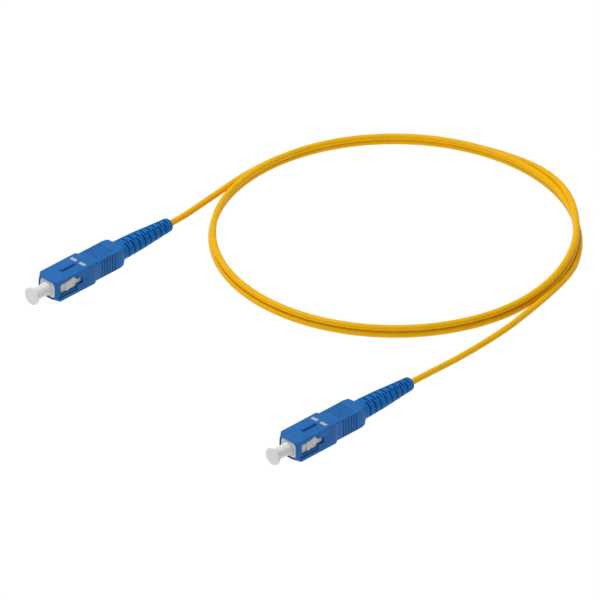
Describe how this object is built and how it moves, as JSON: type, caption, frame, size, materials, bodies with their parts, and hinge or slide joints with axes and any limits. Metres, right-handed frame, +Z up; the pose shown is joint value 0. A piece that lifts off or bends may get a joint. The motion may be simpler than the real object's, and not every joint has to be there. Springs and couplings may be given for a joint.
{
  "type": "fiber optic patch cord",
  "caption": "Simplex fiber optic patch cord: a thin yellow cable in a loose round coil, with a blue push-pull plug, slotted boot and dust cap at each end.",
  "frame": {"origin": "on the surface that the cord lies on, under the middle of the box of its two plugs", "axes": "+X from the plugs' noses back to their boots, +Y from plug b to plug a, +Z up from the table"},
  "size_m": [0.1775, 0.1291, 0.0081],
  "materials": {
    "housing_plastic": "moulded, soft satin gloss",
    "boot_rubber": "moulded flexible plastic, satin",
    "frame_plastic": "natural white, satin",
    "cap_plastic": "translucent milky polyethylene",
    "mark_ink": "printed, matte",
    "ceramic": "polished zirconia",
    "glass_fibre": "clear silica",
    "buffer_plastic": "extruded",
    "flange_metal": "nickel plated, turned",
    "plated_metal": "nickel plated brass, turned",
    "spring_steel": "drawn stainless wire",
    "aramid": "yarn, yellow",
    "cord_jacket": "extruded jacket, satin yellow"
  },
  "bodies": {
    "cord": {"plug_frame_a": "frame_plastic", "rear_body_a": "plated_metal", "guide_tube_a": "frame_plastic", "aramid_yarn_a": "aramid", "crimp_sleeve_a": "plated_metal", "strain_relief_boot_a": "boot_rubber", "cable_end_a": "cord_jacket", "ferrule_spring_a": "spring_steel", "plug_frame_b": "frame_plastic", "rear_body_b": "plated_metal", "guide_tube_b": "frame_plastic", "aramid_yarn_b": "aramid", "crimp_sleeve_b": "plated_metal", "strain_relief_boot_b": "boot_rubber", "cable_end_b": "cord_jacket", "ferrule_spring_b": "spring_steel", "cord_tail_a": "cord_jacket", "cord_coil": "cord_jacket", "cord_tail_b": "cord_jacket"},
    "housing_a": {"outer_housing_a": "housing_plastic", "position_marks_a": "mark_ink"},
    "ferrule_group_a": {"ferrule_a": "ceramic", "bare_fibre_a": "glass_fibre", "tight_buffer_a": "buffer_plastic", "ferrule_flange_a": "flange_metal"},
    "cap_a": {"dust_cap_a": "cap_plastic"},
    "housing_b": {"outer_housing_b": "housing_plastic", "position_marks_b": "mark_ink"},
    "ferrule_group_b": {"ferrule_b": "ceramic", "bare_fibre_b": "glass_fibre", "tight_buffer_b": "buffer_plastic", "ferrule_flange_b": "flange_metal"},
    "cap_b": {"dust_cap_b": "cap_plastic"}
  },
  "joints": [
    {"name": "housing_pull_a", "type": "slide", "parent": "cord", "child": "housing_a", "axis": [1, 0, 0], "range_m": [0, 0.002]},
    {"name": "ferrule_float_a", "type": "slide", "parent": "cord", "child": "ferrule_group_a", "axis": [1, 0, 0], "range_m": [0, 0.001], "stiffness_N_per_m": 600, "deforming": ["ferrule_spring_a"]},
    {"name": "cap_pull_a", "type": "slide", "parent": "ferrule_group_a", "child": "cap_a", "axis": [-1, 0, 0], "range_m": [0, 0.016]},
    {"name": "housing_pull_b", "type": "slide", "parent": "cord", "child": "housing_b", "axis": [1, 0, 0], "range_m": [0, 0.002]},
    {"name": "ferrule_float_b", "type": "slide", "parent": "cord", "child": "ferrule_group_b", "axis": [1, 0, 0], "range_m": [0, 0.001], "stiffness_N_per_m": 600, "deforming": ["ferrule_spring_b"]},
    {"name": "cap_pull_b", "type": "slide", "parent": "ferrule_group_b", "child": "cap_b", "axis": [-1, 0, 0], "range_m": [0, 0.016]}
  ]
}
